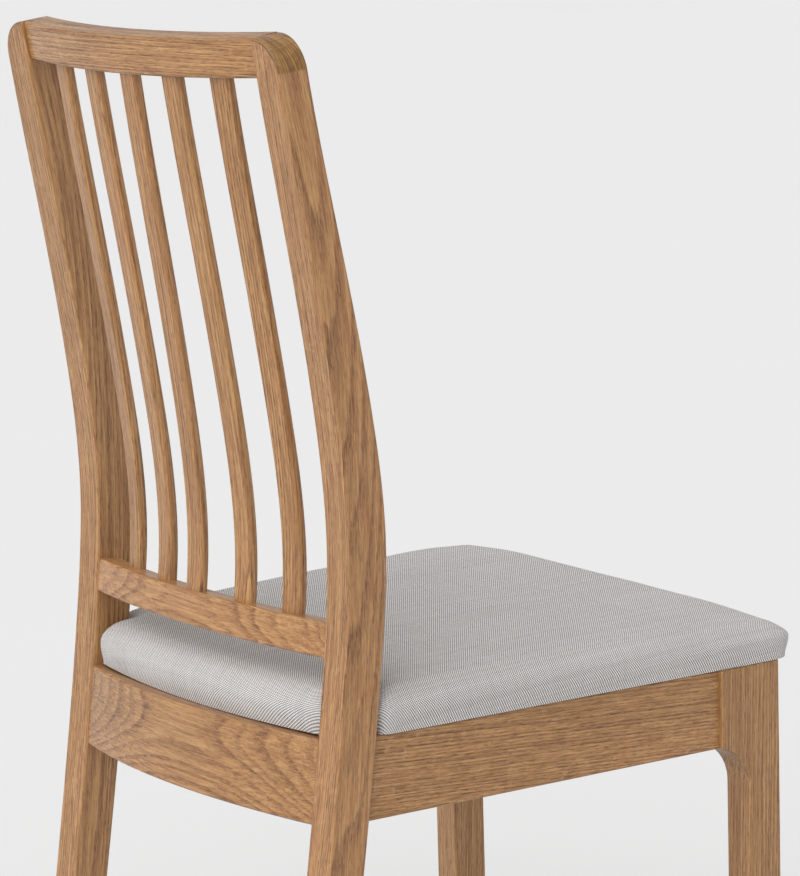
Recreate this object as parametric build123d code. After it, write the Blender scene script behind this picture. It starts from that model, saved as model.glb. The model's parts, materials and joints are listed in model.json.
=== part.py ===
from build123d import *
import math
import os

# Upholstered oak dining chair. Millimetres, X across, the sitter faces -Y, Z up.
# Depths (y) are counted from an arbitrary plane; at the end the finished chair slides along Y
# so that the origin lies on the floor under the middle of its overall box.

# ---- overall ------------------------------------------------------------------------------
BACK_WIDTH = 384.0          # over the outer faces of the rear posts
FRONT_WIDTH = 430.0         # over the outer faces of the front legs
SEAT_TILT = 2.06            # degrees, the seat frame drops towards the back
GLIDE_HEIGHT = 3.0          # the wood stops this far above the floor
EASE = 2.0                  # radius on the long edges of the wood
BEYOND = 1000.0             # larger than the chair in every direction
NEAR = 1.0                  # closeness used to pick out edges and corners

# ---- rear posts: side outline as (y, z) ------------------------------------------------------
POST_WIDTH = 30.0
POST_REAR_EDGE = [(264.7, 0), (231.7, 300), (220.8, 400), (213.8, 480), (211.3, 560), (221.9, 660),
                  (244.3, 780), (277.9, 946)]
POST_FRONT_EDGE = [(236.0, 0), (198.0, 300), (186.6, 400), (179.1, 480), (175.5, 560), (187.5, 660),
                   (213.5, 780), (251.4, 950)]
POST_TOP_RADIUS = 27.0      # the outer top corner, seen from behind
POST_INNER = BACK_WIDTH / 2 - POST_WIDTH

# ---- bowed rails between the posts: rear top edge at the ends as (y, z), lean from upright ------
CREST = dict(top=(275.0, 945.9), lean=11.8, height=30.4, thickness=23.0, bow=18.0)
LOWER_RAIL = dict(top=(211.0, 502.4), lean=-4.8, height=27.5, thickness=20.0, bow=18.0)
REAR_APRON = dict(top=(218.6, 412.7), lean=-5.5, height=66.5, thickness=20.0, bow=22.0)

# ---- slats: middle line of a slat at the posts as (y, z), both ends inside the rails -----------
SLAT_COUNT = 5
SLAT_PITCH = 55.7
SLAT_WIDTH = 20.5
SLAT_THICKNESS = 9.0
SLAT_EASE = 3.0
SLAT_BOW = 20.3             # how far the middle of the row stands behind its ends
SLAT_CURVE = [(196.4, 490), (194.6, 560), (208.0, 660), (231.3, 780), (260.0, 926)]
MIDDLE_SETBACK = 6.5        # the middle slat's foot stands this much further back than the bow

# ---- seat frame, in its own tilted axes: y from the legs' front face, z from the frame's top ----
SEAT_FRONT = (-205.0, 429.5)    # (y, z) of the front legs' front top edge
LEG_WIDTH = 29.0
LEG_DEPTH = 33.4
LEG_HEAD_DEPTH = 62.0
LEG_CURVE_HEIGHT = 36.0         # of the curve from the head into the leg
APRON_HEIGHT = 66.0
APRON_THICKNESS = 20.0
APRON_RECESS = 5.0              # behind the legs' outer faces
SIDE_APRON_REAR = 188.0         # x of the side apron's outer face at the post
SIDE_APRON_FRONT = FRONT_WIDTH / 2 - APRON_RECESS
POST_FRONT_Y = 389.0            # where the posts' front faces cross the frame
OVERRUN = 12.0                  # the side aprons are drawn this far into post and leg, then cut
BELOW_FLOOR = 30.0              # the front legs are drawn this far too long, then cut

# ---- seat pad, in the seat frame's axes ----------------------------------------------------------
PAD_HEIGHT = 37.0
PAD_FRONT_HALF = 217.0
PAD_REAR_HALF = 190.5
PAD_FRONT_Y = -16.0
PAD_NOTCH_Y = 384.5             # the pad is notched round the posts from here back
PAD_TAIL_HALF = POST_INNER - 1.5     # clear of the posts
PAD_TAIL_Y = 417.0
PAD_TAIL_BOW = 16.0
PAD_ROUND = 19.0                # over the top edge
PAD_CORNER = 20.0               # front corners, in plan
PAD_REAR_CORNER = 10.0
LEAST_CORNER = 2.0              # for the inner layers
COVER = 1.2
WADDING = 3.0
BOARD = 12.0
FLANGE = 56.0                   # cover turned in under the board
STAPLE_INSET = 48.0
STAPLE_STEP = 38.0
STAPLE_SIZE = (11.0, 1.0, 0.6)  # crown length, wire width, wire thickness
STAPLE_LEG = 6.0
DUST_CLOTH = 0.6
DUST_CLOTH_INSET = 44.0

# ---- corner braces and fixings -------------------------------------------------------------------
BRACE_HEIGHT = 42.0
BRACE_DROP = 2.0                # below the frame's top
BRACE_THICKNESS = 20.0
FRONT_BRACE = ((122.0, 15.0), (200.0, 100.0))     # its two ends inside the aprons, on its centre line
REAR_BRACE = ((99.5, 430.5), (182.0, 338.0))
FRONT_SCREWS = (((135.0, 44.0), (0, -1)), ((168.0, 80.0), (1, 0)))      # start, heading
REAR_SCREWS = (((112.0, 401.5), (0, 1)), ((156.0, 352.0), (1, 0)))
SCREW_LEVELS = (-12.0, -34.0)
SCREW_RADIUS = 2.0
SCREW_HEAD_RADIUS = 4.0
SCREW_HEAD_HEIGHT = 2.5
SCREW_LENGTH = 30.0
SEAT_SCREW_SHIFT = 16.0         # from a brace's middle towards the front or rear apron
SEAT_SCREW_DEPTH = 9.0          # into the board
BOLT_RADIUS = 3.0
BOLT_TAIL = 3.0                 # showing beyond the nut
FRONT_BOLT_REACH = 58.0         # from the brace's middle into the leg
REAR_BOLT_REACH = 47.0
WASHER_RADIUS = 8.0
WASHER_HEIGHT = 1.6
NUT_RADIUS = 5.5
NUT_HEIGHT = 5.0
DOWEL_RADIUS = 4.0
CREST_DOWEL_RADIUS = 3.0
DOWEL_HALF = 14.0
APRON_DOWELS = (-12.0, -50.0)   # levels below the top of each rail
CREST_DOWELS = (-9.0, -21.0)
LOWER_DOWELS = (-8.0, -19.5)
GLIDE_RADIUS = 10.0
GLIDE_EDGE = 1.0
GLIDE_PIN_RADIUS = 1.3
GLIDE_PIN = 14.0

TILT = math.radians(SEAT_TILT)
SEAT = Plane(origin=(0, *SEAT_FRONT), x_dir=(1, 0, 0), z_dir=(0, math.sin(TILT), math.cos(TILT)))
FLOOR_CUT = Pos(0, 0, GLIDE_HEIGHT - BEYOND / 2) * Box(BEYOND, BEYOND, BEYOND)


# ---- helpers -------------------------------------------------------------------------------------
def mirrored(solid):
    """The right-hand copy of a left-hand piece."""
    return mirror(solid, about=Plane.YZ)


def side_board(front_points, rear_points, low_x, width, heading=(1, 0, 0)):
    """A board with two curved edges in the YZ plane, extruded from low_x along a heading."""
    front = Spline(*front_points)
    rear = Spline(*rear_points)
    outline = Wire([front, Line(front @ 1, rear @ 1), rear, Line(rear @ 0, front @ 0)])
    return extrude(Plane.YZ.offset(low_x) * make_face(outline), width, dir=heading)


def rail_plane(rail):
    """Axes of a bowed rail: x across, y to the rear, z up its lean, origin at the rear top edge."""
    lean = math.radians(rail["lean"])
    return Plane(origin=(0, *rail["top"]), x_dir=(1, 0, 0), z_dir=(0, math.sin(lean), math.cos(lean)))


def bowed_rail(rail):
    """A rail between the posts, bowed to the rear, with its four long edges eased."""
    depth, bow = rail["thickness"], rail["bow"]
    rear = ThreePointArc((-POST_INNER, 0), (0, bow), (POST_INNER, 0))
    front = ThreePointArc((POST_INNER, -depth), (0, bow - depth), (-POST_INNER, -depth))
    outline = Wire([rear, Line(rear @ 1, front @ 0), front, Line(front @ 1, rear @ 0)])
    solid = extrude(make_face(outline), -rail["height"])
    long_edges = solid.edges().filter_by(GeomType.CIRCLE)
    return rail_plane(rail).location * fillet(long_edges, EASE)


def ease_above_foot(solid):
    """A leg with every edge eased but those round its cut end."""
    return fillet(solid.edges().filter_by(lambda e: (e @ 0.5).Z > GLIDE_HEIGHT + NEAR), EASE)


def rod(start, direction, length, radius):
    """A round bar from a point along a direction."""
    return Plane(origin=start, z_dir=direction) * extrude(Circle(radius), length)


def poly_prism(points, low_z, high_z):
    """An upright prism on a polygon, in the seat frame's axes."""
    return extrude(Plane.XY.offset(low_z) * make_face(Polyline(*points, close=True)), high_z - low_z)


# ---- the back ------------------------------------------------------------------------------------
def post():
    """Left rear post: curved from foot to top in one piece, outer top corner rounded."""
    solid = side_board(POST_FRONT_EDGE, POST_REAR_EDGE, POST_INNER, POST_WIDTH)
    outer_edges = solid.edges().filter_by(lambda e: (e @ 0.5).X > BACK_WIDTH / 2 - NEAR)
    solid = fillet(outer_edges.sort_by(Axis.Z)[-1], POST_TOP_RADIUS) - FLOOR_CUT
    return ease_above_foot(solid)


def bow_share(x):
    """How much of a row's bow there is at x: 1 in the middle, 0 at the posts."""
    return 1 - (x / POST_INNER) ** 2


def slat(x):
    """One slat in its own YZ plane, curved like the posts, its broad faces following the bow."""
    foot_z, top_z = SLAT_CURVE[0][1], SLAT_CURVE[-1][1]
    turn = math.atan(2 * SLAT_BOW * x / POST_INNER ** 2)
    heading = (math.cos(turn), -math.sin(turn), 0)
    edge_shift = SLAT_WIDTH / 2 * math.sin(turn)
    middle = []
    for y, z in SLAT_CURVE:
        setback = MIDDLE_SETBACK * (top_z - z) / (top_z - foot_z) if x == 0 else 0
        middle.append((y + SLAT_BOW * bow_share(x) + setback + edge_shift, z))
    front = [(y - SLAT_THICKNESS / 2, z) for y, z in middle]
    rear = [(y + SLAT_THICKNESS / 2, z) for y, z in middle]
    low_x = x - SLAT_WIDTH / 2 * math.cos(turn)
    solid = side_board(front, rear, low_x, SLAT_WIDTH, heading)
    long_edges = solid.edges().filter_by(lambda e: e.length > SLAT_WIDTH * 2)
    return fillet(long_edges, SLAT_EASE)


# ---- the seat frame ------------------------------------------------------------------------------
def front_leg():
    """Left front leg: a deep head that runs in a curve into the slimmer leg."""
    low = -SEAT_FRONT[1] - BELOW_FLOOR
    bend_y = LEG_HEAD_DEPTH - LEG_DEPTH
    radius = (bend_y ** 2 + LEG_CURVE_HEIGHT ** 2) / (2 * bend_y)
    angle = math.asin(LEG_CURVE_HEIGHT / radius) / 2
    middle = (LEG_DEPTH + radius * (1 - math.cos(angle)), -APRON_HEIGHT - LEG_CURVE_HEIGHT
              + radius * math.sin(angle))
    curve = ThreePointArc((LEG_DEPTH, -APRON_HEIGHT - LEG_CURVE_HEIGHT), middle,
                          (LEG_HEAD_DEPTH, -APRON_HEIGHT))
    outline = Wire([Line((0, low), (LEG_DEPTH, low)), Line((LEG_DEPTH, low), curve @ 0), curve,
                    Line(curve @ 1, (LEG_HEAD_DEPTH, 0)), Line((LEG_HEAD_DEPTH, 0), (0, 0)),
                    Line((0, 0), (0, low))])
    inner = FRONT_WIDTH / 2 - LEG_WIDTH
    solid = SEAT.location * extrude(Plane.YZ.offset(inner) * make_face(outline), LEG_WIDTH) - FLOOR_CUT
    return ease_above_foot(solid)


def side_apron_x(y):
    """x of the left side apron's outer face at depth y."""
    share = (y - LEG_HEAD_DEPTH) / (POST_FRONT_Y - LEG_HEAD_DEPTH)
    return SIDE_APRON_FRONT + (SIDE_APRON_REAR - SIDE_APRON_FRONT) * share


def side_apron(post_solid, leg_solid):
    """Left side apron, flared between post and leg, its ends cut to their faces."""
    ends = (LEG_HEAD_DEPTH - OVERRUN, POST_FRONT_Y + OVERRUN)
    outer = [(side_apron_x(y), y) for y in ends]
    inner = [(side_apron_x(y) - APRON_THICKNESS, y) for y in reversed(ends)]
    solid = poly_prism(outer + inner, -APRON_HEIGHT, 0)
    long_edges = solid.edges().filter_by(lambda e: e.length > 2 * APRON_HEIGHT)
    return SEAT.location * fillet(long_edges, EASE) - post_solid - leg_solid


def front_apron():
    """A straight board between the front legs."""
    half = FRONT_WIDTH / 2 - LEG_WIDTH
    solid = Pos(0, APRON_RECESS + APRON_THICKNESS / 2, -APRON_HEIGHT / 2) * Box(
        2 * half, APRON_THICKNESS, APRON_HEIGHT)
    return SEAT.location * fillet(solid.edges().filter_by(Axis.X), EASE)


def brace(ends, neighbours):
    """A corner brace set diagonally between two aprons, its ends cut to their inner faces."""
    start, end = Vector(*ends[0]), Vector(*ends[1])
    along = (end - start).normalized()
    across = Vector(-along.Y, along.X) * (BRACE_THICKNESS / 2)
    corners = [start + across, end + across, end - across, start - across]
    low = -BRACE_DROP - BRACE_HEIGHT
    solid = SEAT.location * poly_prism([(c.X, c.Y) for c in corners], low, -BRACE_DROP)
    for neighbour in neighbours:
        solid = solid - neighbour
    return max(solid.solids(), key=lambda s: s.volume)


# ---- the seat pad --------------------------------------------------------------------------------
def pad_block(inset, low_z, high_z, top_radius=0.0):
    """The pad's outline, drawn in by an inset, as a block with a rounded top edge."""
    front_half, rear_half = PAD_FRONT_HALF - inset, PAD_REAR_HALF - inset
    front_y, notch_y = PAD_FRONT_Y + inset, PAD_NOTCH_Y - inset
    tail_half, tail_y = PAD_TAIL_HALF - inset, PAD_TAIL_Y - inset
    left = [(front_half, front_y), (rear_half, notch_y), (tail_half, notch_y), (tail_half, tail_y)]
    right = [(-x, y) for x, y in reversed(left)]
    tail = ThreePointArc(left[-1], (0, tail_y + PAD_TAIL_BOW), right[0])
    sides = Polyline(*left).edges() + Polyline(*right).edges()
    face = make_face(Wire([*sides, tail, Line(right[-1], left[0])]))
    face = fillet(face.vertices().filter_by(lambda v: v.Y < front_y + NEAR),
                  max(PAD_CORNER - inset, LEAST_CORNER))
    corners = face.vertices().filter_by(
        lambda v: abs(v.Y - tail_y) < NEAR or (abs(v.Y - notch_y) < NEAR and abs(v.X) > rear_half - NEAR))
    face = fillet(corners, max(PAD_REAR_CORNER - inset, LEAST_CORNER))
    solid = extrude(Plane.XY.offset(low_z) * face, high_z - low_z)
    if top_radius:
        solid = fillet(solid.faces().sort_by(Axis.Z)[-1].edges(), top_radius)
    return SEAT.location * solid


def staple_places():
    """Staple centres and headings round the board's underside."""
    places = []
    front_y = PAD_FRONT_Y + STAPLE_INSET
    rear_y = PAD_TAIL_Y - STAPLE_INSET + PAD_TAIL_BOW / 2
    for y, half in ((front_y, PAD_FRONT_HALF), (rear_y, PAD_TAIL_HALF)):
        span = half - STAPLE_INSET - STAPLE_STEP / 2
        count = int(2 * span / STAPLE_STEP)
        places += [((i / count - 0.5) * 2 * span, y, 0) for i in range(count + 1)]
    side_count = int((PAD_NOTCH_Y - STAPLE_INSET - front_y) / STAPLE_STEP)
    for i in range(side_count):
        y = front_y + STAPLE_STEP * (i + 1)
        share = (y - PAD_FRONT_Y) / (PAD_NOTCH_Y - PAD_FRONT_Y)
        x = PAD_FRONT_HALF + (PAD_REAR_HALF - PAD_FRONT_HALF) * share - STAPLE_INSET
        places += [(x, y, 90), (-x, y, 90)]
    return places


def staple(x, y, turn):
    """A crown under the cover's flange and two legs up into the board."""
    length, width, wire = STAPLE_SIZE
    crown = Pos(0, 0, -wire / 2) * Box(length, width, wire)
    leg = Box(wire, width, STAPLE_LEG)
    legs = [Pos(side * (length - wire) / 2, 0, STAPLE_LEG / 2) * leg for side in (-1, 1)]
    return SEAT.location * Pos(x, y, 0) * Rot(0, 0, turn) * (crown + legs[0] + legs[1])


# ---- fixings -------------------------------------------------------------------------------------
def seat_rod(point, heading, level, low, high, radius):
    """A bar in the seat frame's axes, from low to high along a heading at one level."""
    direction = Vector(*heading)
    start = Vector(*point) + direction * low
    bar = rod((start.X, start.Y, level), (direction.X, direction.Y, 0), high - low, radius)
    return SEAT.location * bar


def brace_axis(ends, outward):
    """Middle of a brace and the direction from it to the leg that it holds."""
    start, end = Vector(*ends[0]), Vector(*ends[1])
    along = (end - start).normalized()
    across = Vector(along.Y, -along.X) * outward
    return (start + end) * 0.5, along, across


def leg_bolt(ends, outward, reach):
    """Bolt, washer and nut that pull a leg into its corner."""
    middle, _, across = brace_axis(ends, outward)
    point, heading = (middle.X, middle.Y), (across.X, across.Y)
    level = -BRACE_DROP - BRACE_HEIGHT / 2
    face = -BRACE_THICKNESS / 2
    under_nut = face - WASHER_HEIGHT
    tail = under_nut - NUT_HEIGHT - BOLT_TAIL
    bolt = seat_rod(point, heading, level, tail, reach, BOLT_RADIUS)
    washer = seat_rod(point, heading, level, under_nut, face, WASHER_RADIUS) - bolt
    start = middle + across * (under_nut - NUT_HEIGHT)
    nut_plane = Plane(origin=(start.X, start.Y, level), z_dir=(across.X, across.Y, 0))
    nut = SEAT.location * (nut_plane * extrude(RegularPolygon(NUT_RADIUS, 6), NUT_HEIGHT)) - bolt
    return bolt, washer, nut


def brace_screws(starts):
    """Countersunk screws through a brace's ends into the aprons, two at each end."""
    screws = []
    for point, heading in starts:
        for level in SCREW_LEVELS:
            shank = seat_rod(point, heading, level, 0, SCREW_LENGTH, SCREW_RADIUS)
            head = seat_rod(point, heading, level, 0, SCREW_HEAD_HEIGHT, SCREW_HEAD_RADIUS)
            screws.append(shank + head)
    return screws


def seat_screw(ends):
    """A screw up through a brace into the seat board."""
    middle, along, _ = brace_axis(ends, 1)
    point = middle - along * SEAT_SCREW_SHIFT
    low = -BRACE_DROP - BRACE_HEIGHT
    top = COVER + SEAT_SCREW_DEPTH
    shank = rod((point.X, point.Y, low), (0, 0, 1), top - low, SCREW_RADIUS)
    head = rod((point.X, point.Y, low - SCREW_HEAD_HEIGHT), (0, 0, 1), SCREW_HEAD_HEIGHT, SCREW_HEAD_RADIUS)
    return SEAT.location * (shank + head)


def rail_dowels(rail, levels, radius):
    """Dowels across the joint between a bowed rail and the left post."""
    plane = rail_plane(rail)
    dowels = []
    for level in levels:
        start = (POST_INNER - DOWEL_HALF, -rail["thickness"] / 2, level)
        dowels.append(plane.location * rod(start, (1, 0, 0), 2 * DOWEL_HALF, radius))
    return dowels


def seat_dowels():
    """Dowels in the left ends of the front and side aprons."""
    post_x = side_apron_x(POST_FRONT_Y) - APRON_THICKNESS / 2
    leg_x = side_apron_x(LEG_HEAD_DEPTH) - APRON_THICKNESS / 2
    leg_face = FRONT_WIDTH / 2 - LEG_WIDTH
    joints = (((post_x, POST_FRONT_Y), (0, 1)), ((leg_x, LEG_HEAD_DEPTH), (0, -1)),
              ((leg_face, APRON_RECESS + APRON_THICKNESS / 2), (1, 0)))
    return [seat_rod(point, heading, level, -DOWEL_HALF, DOWEL_HALF, DOWEL_RADIUS)
            for point, heading in joints for level in APRON_DOWELS]


def glide(x, y):
    """A nylon glide with its pin, under one leg."""
    disc = Pos(x, y, GLIDE_HEIGHT / 2) * Cylinder(GLIDE_RADIUS, GLIDE_HEIGHT)
    disc = fillet(disc.edges().sort_by(Axis.Z)[0], GLIDE_EDGE)
    return disc + rod((x, y, GLIDE_HEIGHT), (0, 0, 1), GLIDE_PIN, GLIDE_PIN_RADIUS)


def foot_centre(solid):
    """Middle of a leg's cut end."""
    return solid.faces().sort_by(Axis.Z)[0].center()


# ---- the whole chair -----------------------------------------------------------------------------
def boxes_meet(one, other):
    """Whether two bounding boxes overlap."""
    return (one.min.X < other.max.X and other.min.X < one.max.X and one.min.Y < other.max.Y
            and other.min.Y < one.max.Y and one.min.Z < other.max.Z and other.min.Z < one.max.Z)


def cut(solid, tools):
    """A solid with the holes and sockets that other pieces make in it."""
    box = solid.bounding_box()
    near = [tool for tool in tools if boxes_meet(box, tool.bounding_box())]
    return solid - near if near else solid


def both(solids):
    """Left-hand pieces followed by their right-hand copies."""
    return list(solids) + [mirrored(solid) for solid in solids]


def chair():
    """Every piece of the chair by name."""
    slats = {f"slat_{i + 1}": slat((SLAT_COUNT // 2 - i) * SLAT_PITCH) for i in range(SLAT_COUNT)}
    back_dowels = both(rail_dowels(CREST, CREST_DOWELS, CREST_DOWEL_RADIUS)
                       + rail_dowels(LOWER_RAIL, LOWER_DOWELS, DOWEL_RADIUS))
    frame_dowels = both(rail_dowels(REAR_APRON, APRON_DOWELS, DOWEL_RADIUS) + seat_dowels())
    front_bolt = leg_bolt(FRONT_BRACE, 1, FRONT_BOLT_REACH)
    rear_bolt = leg_bolt(REAR_BRACE, -1, REAR_BOLT_REACH)
    bolts, washers, nuts = (both(pair) for pair in zip(front_bolt, rear_bolt))
    screws = both(brace_screws(FRONT_SCREWS) + brace_screws(REAR_SCREWS))
    seat_screws = both([seat_screw(FRONT_BRACE), seat_screw(REAR_BRACE)])
    staples = [staple(x, y, turn) for x, y, turn in staple_places()]

    left_post, left_leg = post(), front_leg()
    left_apron = side_apron(left_post, left_leg)
    rear_apron, apron = bowed_rail(REAR_APRON), front_apron()
    foot, heel = foot_centre(left_leg), foot_centre(left_post)
    glides = both([glide(foot.X, foot.Y), glide(heel.X, heel.Y)])
    front_brace = brace(FRONT_BRACE, [apron, left_apron])
    rear_brace = brace(REAR_BRACE, [rear_apron, left_apron])

    holes = back_dowels + frame_dowels + bolts + screws + seat_screws + glides
    pieces = {"crest_rail": cut(bowed_rail(CREST), list(slats.values()) + back_dowels),
              "lower_back_rail": cut(bowed_rail(LOWER_RAIL), list(slats.values()) + back_dowels),
              "rear_apron": cut(rear_apron, holes), "front_apron": cut(apron, holes)}
    pieces.update(slats)
    left_pieces = {"rear_post": left_post, "front_leg": left_leg, "side_apron": left_apron,
                   "front_brace": front_brace, "rear_brace": rear_brace}
    for name, solid in left_pieces.items():
        pieces[f"{name}_left"] = cut(solid, holes)
        pieces[f"{name}_right"] = mirrored(pieces[f"{name}_left"])

    top = PAD_HEIGHT - COVER
    board_top = COVER + BOARD
    hollow = pad_block(COVER, COVER, top, PAD_ROUND - COVER)
    cover = pad_block(0, 0, PAD_HEIGHT, PAD_ROUND) - hollow - pad_block(FLANGE, -COVER, COVER)
    foam = pad_block(COVER + WADDING, board_top, top - WADDING, PAD_ROUND - COVER - WADDING)
    board = pad_block(COVER, COVER, board_top)
    pieces["seat_cover"] = cut(cover, staples + seat_screws)
    pieces["seat_wadding"] = pad_block(COVER, board_top, top, PAD_ROUND - COVER) - foam
    pieces["seat_foam"] = foam
    pieces["seat_board"] = cut(board, staples + seat_screws)
    wire = STAPLE_SIZE[2]
    pieces["dust_cloth"] = cut(pad_block(DUST_CLOTH_INSET, -wire - DUST_CLOTH, -wire), seat_screws)

    groups = {"back_dowels": back_dowels, "seat_frame_dowels": frame_dowels, "leg_bolts": bolts,
              "leg_bolt_washers": washers, "leg_bolt_nuts": nuts, "brace_screws": screws,
              "seat_screws": seat_screws, "cover_staples": staples}
    for name, solids in groups.items():
        pieces[name] = Compound([piece for solid in solids for piece in solid.solids()])
    for name, solid in zip(("front_left", "rear_left", "front_right", "rear_right"), glides):
        pieces[f"glide_{name}"] = solid
    return pieces


def main():
    """Moves the chair to its origin and writes one STEP file for each piece."""
    pieces = chair()
    boxes = [solid.bounding_box() for solid in pieces.values()]
    front, back = min(box.min.Y for box in boxes), max(box.max.Y for box in boxes)
    to_origin = Pos(0, -(front + back) / 2, 0)
    print(f"depth {back - front:.1f}, origin at y {(front + back) / 2:.2f}")
    os.makedirs("parts", exist_ok=True)
    for name, solid in pieces.items():
        export_step(to_origin * solid, f"parts/{name}.step")


if __name__ == "__main__":
    main()
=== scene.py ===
import json
import math

import bmesh
import bpy
import numpy as np
from mathutils import Matrix, Vector


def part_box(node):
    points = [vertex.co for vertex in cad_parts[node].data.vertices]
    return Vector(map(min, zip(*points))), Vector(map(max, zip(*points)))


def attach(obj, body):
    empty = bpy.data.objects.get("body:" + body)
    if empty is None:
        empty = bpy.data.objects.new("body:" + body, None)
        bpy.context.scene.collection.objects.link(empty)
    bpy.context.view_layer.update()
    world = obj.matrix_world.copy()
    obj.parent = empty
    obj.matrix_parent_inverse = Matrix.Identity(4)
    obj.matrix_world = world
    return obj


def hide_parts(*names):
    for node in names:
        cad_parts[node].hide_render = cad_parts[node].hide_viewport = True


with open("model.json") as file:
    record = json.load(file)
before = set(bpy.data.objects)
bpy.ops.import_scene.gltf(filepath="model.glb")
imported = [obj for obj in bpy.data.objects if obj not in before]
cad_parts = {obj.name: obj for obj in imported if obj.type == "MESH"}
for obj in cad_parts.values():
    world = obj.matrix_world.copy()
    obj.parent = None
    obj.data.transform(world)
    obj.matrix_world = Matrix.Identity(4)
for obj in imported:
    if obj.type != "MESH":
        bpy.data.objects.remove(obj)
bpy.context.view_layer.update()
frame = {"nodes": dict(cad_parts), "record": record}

# Looks of the oak dining chair. Metres, +X to the sitter's left, the sitter faces -Y, Z up.

MM = 0.001

# ---- camera and light ----------------------------------------------------------------------------
CAMERA_PLACE = (-2.3888, 1.7570, 1.0791)
CAMERA_HEADING = 53.44          # degrees, from -Y towards +X
CAMERA_DROP = 9.04              # degrees below the horizon
LENS = 151.0                    # millimetres
VIEW_END = 500.0                # metres, past the floor's edge
SUN_FROM = (-0.26, 0.714, 0.65)     # high behind the chair, a little to its right
SUN_STRENGTH = 2.6
SUN_ANGLE = 80.0                # degrees across, for soft shadows
SKY_STRENGTH = 0.50
FLOOR_SIZE = 160.0
FLOOR_GREYS = ((0.80, 0.80, 0.80, 1.0), (0.815, 0.815, 0.813, 1.0))

# ---- seat pad, in the seat frame's own axes, millimetres -----------------------------------------
SEAT_TILT = 2.06                # degrees, down towards the back
SEAT_FRONT_Z = 429.5            # height of the frame's front top edge
SEAT_FRONT_Y = -240.63          # and its depth
PAD_TOP = 37.0
PAD_FRONT_HALF = 217.0
PAD_REAR_HALF = 190.5
PAD_FRONT_Y = -16.0
PAD_NOTCH_Y = 384.5
PAD_TAIL_HALF = 160.5
PAD_TAIL_Y = 417.0
PAD_TAIL_BOW = 16.0
PAD_ROUND = 19.0
FRONT_CORNER = 22.0
REAR_CORNER = 11.0
LEAST_CORNER = 8.0              # the smallest corner, however far the outline is drawn in
BOARD = (1.2, 13.2)             # board's underside and top
BOARD_INSET = 1.2               # its edge, in from the pad's outline
BOARD_GAP = 0.2                 # between the board and the padding round it
START_DROP = 1.7                # the block's top starts this much below the finished edge
START_BELOW = 6.0               # and it reaches this far under the frame's top until it is trimmed
VOXEL = 4.0
HELD_BELOW = 2.0                # the cloth is held fast up to this height
HEM = 14.0                      # up to this height it lies against the board's edge
HEM_FADE = 7.0
SIDE_REACH = 3.8                # a point this near the outline belongs to the side
SWELL_FRAMES = 20               # of the cloth's simulation
PAD_CAP = 4.5                   # no point swells further than this
TAUTNESS = 120                  # rounds of evening out: the cover is pulled tight, without folds
SIDE_BULGE = 2.2                # of the sides at half their height
CORNER_DROP = (7.0, 4.8)        # how far the top falls at the right and left front corners
CORNER_REACH = (72.0, 45.0)     # and how far in from each corner
CORNER_BLEND = 100.0            # to either side of the middle, from the one corner's fall to the other's
WHOLE_DROP = 4.0                # the drop is whole from this far under the top
SWELL_ASIDE = 0.9               # how far the pad may swell towards a post's side
SWELL_BACK = 2.5                # and towards its front
WEAVE_CELL = (1.38, 1.04)       # one crossing of the yarns, across and along the seat
YARN_WANDER = 0.3               # how far the yarns stray

# ---- dust cloth, in the same axes ----------------------------------------------------------------
SHEET_INSET = 44.0              # in from the pad's outline
SHEET_LEVEL = -0.9
SHEET_SAG = 2.6                 # in its middle
SHEET_THICK = 0.35
SHEET_CELL = 8.0                # of its mesh
SHEET_HALF = 165.0              # half width of the part that hangs free
SHEET_MIDDLE_Y = 205.0
SHEET_RIPPLE = 0.35
SHEET_WAVES = (0.11, 0.021)     # radians per millimetre, across and along
WAVE_SWAY = 0.9                 # how far the ripples stray, in radians


def srgb(r, g, b):
    """Linear colour from 8-bit display values."""
    channels = []
    for value in (r, g, b):
        value /= 255
        channels.append(value / 12.92 if value <= 0.04045 else ((value + 0.055) / 1.055) ** 2.4)
    return (*channels, 1.0)


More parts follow.
